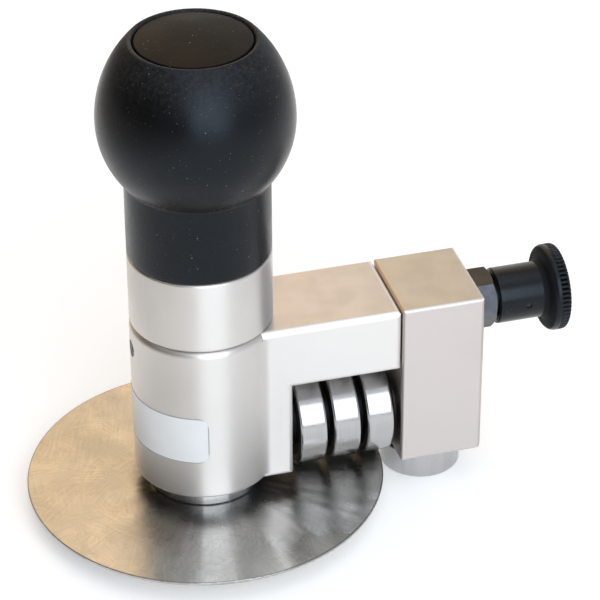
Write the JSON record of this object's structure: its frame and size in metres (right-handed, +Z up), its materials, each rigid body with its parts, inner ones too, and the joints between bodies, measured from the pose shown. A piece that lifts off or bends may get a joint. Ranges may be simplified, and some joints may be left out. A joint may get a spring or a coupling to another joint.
{
  "type": "sheet metal edge bender",
  "caption": "Hand edge bender: ball grip on a column, guide disc under it, hold-down roller bearings on an arm, and a swinging end block with an edge roller and index plunger.",
  "frame": {"origin": "centre of the guide disc's underside, on the spindle axis", "axes": "+Z up along the spindle, +X along the arm towards the end block and knob"},
  "size_m": [0.1556, 0.1016, 0.1466],
  "materials": {
    "disc_steel": "swirl sanded stainless",
    "hub_steel": "turned",
    "screw_steel": "black oxide",
    "body_aluminium": "satin machined",
    "bronze": "plain bearing bronze",
    "ground_steel": "ground",
    "edge_roller_steel": "turned",
    "bearing_steel": "polished bearing steel",
    "seal_rubber": "seal",
    "cage_plastic": "moulded",
    "plunger_steel": "blackened steel",
    "knob_plastic": "moulded",
    "dark_washer": "plain",
    "grip_rubber": "soft touch"
  },
  "bodies": {
    "frame": {"main_body": "body_aluminium", "spindle_bush_lower": "bronze", "spindle_bush_upper": "bronze", "spindle_dog_screw": "screw_steel", "roller_axle": "ground_steel", "axle_set_screw": "screw_steel", "axle_spacers": "ground_steel", "axle_end_washer": "ground_steel", "axle_end_screw": "screw_steel", "roller_1_inner_ring": "bearing_steel", "roller_2_inner_ring": "bearing_steel", "roller_3_inner_ring": "bearing_steel", "index_bush": "ground_steel", "grip_washer": "dark_washer", "handle_post": "ground_steel", "post_set_screw": "screw_steel", "post_washer": "ground_steel", "post_nut": "ground_steel"},
    "disc": {"base_disc": "disc_steel", "spindle": "hub_steel", "disc_screws": "screw_steel"},
    "grip": {"collar": "body_aluminium", "swivel_bush_lower": "bronze", "swivel_bush_upper": "bronze", "handle_grip": "grip_rubber", "handle_cap": "grip_rubber"},
    "end_block": {"end_block": "body_aluminium", "block_bush": "bronze", "edge_roller_screw": "screw_steel", "edge_washer": "bronze", "plunger_guide": "plunger_steel", "plunger_spring_seat": "plunger_steel"},
    "edge_roller": {"edge_roller": "edge_roller_steel", "edge_roller_bush": "bronze"},
    "plunger": {"plunger_pin": "ground_steel", "plunger_knob": "knob_plastic", "knob_cross_pin": "screw_steel", "plunger_spring": "ground_steel"},
    "roller_1": {"roller_1_outer_ring": "bearing_steel", "roller_1_seals": "seal_rubber"},
    "roller_1_ball_set": {"roller_1_balls": "bearing_steel", "roller_1_cage": "cage_plastic"},
    "roller_2": {"roller_2_outer_ring": "bearing_steel", "roller_2_seals": "seal_rubber"},
    "roller_2_ball_set": {"roller_2_balls": "bearing_steel", "roller_2_cage": "cage_plastic"},
    "roller_3": {"roller_3_outer_ring": "bearing_steel", "roller_3_seals": "seal_rubber"},
    "roller_3_ball_set": {"roller_3_balls": "bearing_steel", "roller_3_cage": "cage_plastic"}
  },
  "joints": [
    {"name": "disc_spin", "type": "hinge", "parent": "frame", "child": "disc", "pos_m": [0, 0, 0], "axis": [0, 0, 1], "continuous": true},
    {"name": "grip_swivel", "type": "hinge", "parent": "frame", "child": "grip", "pos_m": [0, 0, 0.05515], "axis": [0, 0, 1], "continuous": true},
    {"name": "roller_1_spin", "type": "hinge", "parent": "frame", "child": "roller_1", "pos_m": [0.0286, 0, 0.01595], "axis": [1, 0, 0], "continuous": true},
    {"name": "roller_2_spin", "type": "hinge", "parent": "frame", "child": "roller_2", "pos_m": [0.0384, 0, 0.01595], "axis": [1, 0, 0], "continuous": true},
    {"name": "roller_3_spin", "type": "hinge", "parent": "frame", "child": "roller_3", "pos_m": [0.0482, 0, 0.01595], "axis": [1, 0, 0], "continuous": true},
    {"name": "roller_1_balls_roll", "type": "hinge", "parent": "frame", "child": "roller_1_ball_set", "pos_m": [0.0286, 0, 0.01595], "axis": [1, 0, 0], "continuous": true},
    {"name": "roller_2_balls_roll", "type": "hinge", "parent": "frame", "child": "roller_2_ball_set", "pos_m": [0.0384, 0, 0.01595], "axis": [1, 0, 0], "continuous": true},
    {"name": "roller_3_balls_roll", "type": "hinge", "parent": "frame", "child": "roller_3_ball_set", "pos_m": [0.0482, 0, 0.01595], "axis": [1, 0, 0], "continuous": true},
    {"name": "block_swing", "type": "hinge", "parent": "frame", "child": "end_block", "pos_m": [0.0539, 0, 0.01595], "axis": [1, 0, 0], "range_deg": [-90, 90]},
    {"name": "edge_roller_spin", "type": "hinge", "parent": "end_block", "child": "edge_roller", "pos_m": [0.0642, 0, 0], "axis": [0, 0, 1], "continuous": true},
    {"name": "plunger_pull", "type": "slide", "parent": "end_block", "child": "plunger", "axis": [1, 0, 0], "range_m": [0, 0.005], "stiffness_N_per_m": 2000, "springref_m": -0.004, "deforming": ["plunger_spring"]}
  ],
  "couplings": [
    {"joint": "roller_1_balls_roll", "follows": "roller_1_spin", "ratio": 0.615},
    {"joint": "roller_2_balls_roll", "follows": "roller_2_spin", "ratio": 0.615},
    {"joint": "roller_3_balls_roll", "follows": "roller_3_spin", "ratio": 0.615}
  ]
}
